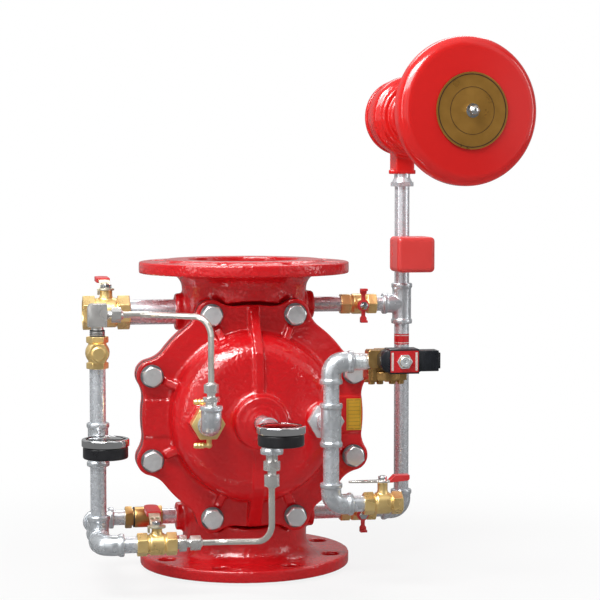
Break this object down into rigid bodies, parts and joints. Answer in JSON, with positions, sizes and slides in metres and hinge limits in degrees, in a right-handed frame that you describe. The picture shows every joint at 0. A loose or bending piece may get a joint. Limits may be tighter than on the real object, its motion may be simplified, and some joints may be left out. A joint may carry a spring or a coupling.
{
  "type": "deluge valve",
  "caption": "Flanged diaphragm deluge valve with round bolted cover, gauges, drain and test valves, solenoid trim and a water motor gong on a riser.",
  "frame": {"origin": "centre of the inlet flange's raised face, at the bottom", "axes": "+Z along the flow from inlet to outlet, -Y out of the cover, +X towards the riser and gong"},
  "size_m": [0.5797, 0.48, 0.7055],
  "materials": {
    "red_paint": "glossy fire-red enamel",
    "red_gong": "glossy red enamel",
    "zinc": "galvanised, faintly mottled",
    "bright_zinc": "bright zinc plate",
    "stainless": "satin stainless",
    "chrome": "polished",
    "brass": "satin forged brass",
    "bronze": "machined bronze",
    "plated_lever": "cream plated steel",
    "red_vinyl": "dipped red vinyl",
    "rubber": "black elastomer",
    "black_plastic": "moulded, glossy",
    "black_case": "black enamel",
    "lens": "clear",
    "plate_metal": "blank, brushed",
    "gold": "polished gold colour"
  },
  "bodies": {
    "valve": {"valve_body": "red_paint", "cover": "red_paint", "seat_ring": "bronze", "diaphragm": "rubber", "closing_spring": "stainless", "cover_bolts": "bright_zinc", "nameplate": "plate_metal", "drain_valve_body": "brass", "inline_check_body": "brass", "inline_check_spring": "stainless", "supply_valve_body": "brass", "left_pipes": "zinc", "right_pipes": "zinc", "riser_pipes": "zinc", "elbows": "zinc", "tees": "zinc", "cover_bushings": "bright_zinc", "swing_check_body": "brass", "swing_check_cap": "brass", "square_elbow": "stainless", "steel_tubes": "stainless", "tube_fittings": "stainless", "gauge_cases": "black_case", "gauge_bezels": "chrome", "gauge_lenses": "lens", "gauge_stems": "brass", "anti_reset_body": "brass", "solenoid_body": "brass", "solenoid_coil": "black_plastic", "solenoid_connector": "black_plastic", "solenoid_nut": "bright_zinc", "solenoid_spring": "stainless", "release_valve_body": "brass", "test_valve_bodies": "brass", "pressure_switch_base": "red_paint", "pressure_switch_cover": "red_paint", "motor_housing": "red_gong", "gong": "red_gong", "gong_plate": "gold", "gong_tie_rod": "chrome"},
    "main_disc": {"valve_disc": "bronze", "disc_seal": "rubber", "disc_clamp": "stainless"},
    "drain_handle": {"drain_ball_stem": "chrome", "drain_lever": "plated_lever", "drain_grip": "red_vinyl"},
    "supply_handle": {"supply_ball_stem": "chrome", "supply_lever": "plated_lever", "supply_grip": "red_vinyl"},
    "release_arm": {"release_ball_stem": "chrome", "release_handle": "red_vinyl"},
    "upper_test": {"upper_test_handle": "red_vinyl"},
    "lower_test": {"lower_test_handle": "red_vinyl"},
    "check_flapper": {"swing_check_flapper": "bronze"},
    "check_poppet": {"inline_check_poppet": "bronze"},
    "left_pointer": {"left_gauge_pointer": "black_case"},
    "hub_pointer": {"hub_gauge_pointer": "black_case"},
    "rotor": {"motor_rotor": "bronze"},
    "solenoid_core": {"solenoid_plunger": "stainless"},
    "reset_plunger": {"anti_reset_plunger": "stainless"}
  },
  "joints": [
    {"name": "disc_lift", "type": "slide", "parent": "valve", "child": "main_disc", "axis": [0, -1, 0], "range_m": [0, 0.025], "stiffness_N_per_m": 2500, "springref_m": -0.01, "deforming": ["closing_spring", "diaphragm"]},
    {"name": "drain_turn", "type": "hinge", "parent": "valve", "child": "drain_handle", "pos_m": [-0.187, 0, 0.347], "axis": [0, 0, 1], "range_deg": [0, 90]},
    {"name": "supply_turn", "type": "hinge", "parent": "valve", "child": "supply_handle", "pos_m": [-0.138, -0.188, 0.0685], "axis": [0, 0, 1], "range_deg": [-90, 0]},
    {"name": "release_turn", "type": "hinge", "parent": "valve", "child": "release_arm", "pos_m": [0.151, -0.19, 0.112], "axis": [0, 0, 1], "range_deg": [0, 90]},
    {"name": "upper_test_turn", "type": "hinge", "parent": "valve", "child": "upper_test", "pos_m": [0.158, 0, 0.355], "axis": [0, -1, 0], "range_deg": [0, 90]},
    {"name": "lower_test_turn", "type": "hinge", "parent": "valve", "child": "lower_test", "pos_m": [0.158, 0, 0.0685], "axis": [0, -1, 0], "range_deg": [0, 90]},
    {"name": "flapper_swing", "type": "hinge", "parent": "valve", "child": "check_flapper", "pos_m": [-0.207, -0.1205, 0.3039], "axis": [-1, 0, 0], "range_deg": [0, 55]},
    {"name": "poppet_lift", "type": "slide", "parent": "valve", "child": "check_poppet", "axis": [-1, 0, 0], "range_m": [0, 0.004], "stiffness_N_per_m": 250, "springref_m": -0.002, "deforming": ["inline_check_spring"]},
    {"name": "left_pointer_turn", "type": "hinge", "parent": "valve", "child": "left_pointer", "pos_m": [-0.20212, -0.19983, 0.188], "axis": [0, 0, 1], "range_deg": [-270, 0], "stiffness_Nm_per_rad": 0.0005},
    {"name": "hub_pointer_turn", "type": "hinge", "parent": "valve", "child": "hub_pointer", "pos_m": [0, -0.308, 0.214], "axis": [0, 0, 1], "range_deg": [-270, 0], "stiffness_Nm_per_rad": 0.0005},
    {"name": "motor_turn", "type": "hinge", "parent": "valve", "child": "rotor", "pos_m": [0.225, 0, 0.611], "axis": [0.1392, -0.9903, 0], "continuous": true},
    {"name": "solenoid_lift", "type": "slide", "parent": "valve", "child": "solenoid_core", "axis": [0, -1, 0], "range_m": [0, 0.003], "stiffness_N_per_m": 600, "springref_m": -0.001, "deforming": ["solenoid_spring"]},
    {"name": "reset_slide", "type": "slide", "parent": "valve", "child": "reset_plunger", "axis": [0, -1, 0], "range_m": [0, 0.003]}
  ]
}
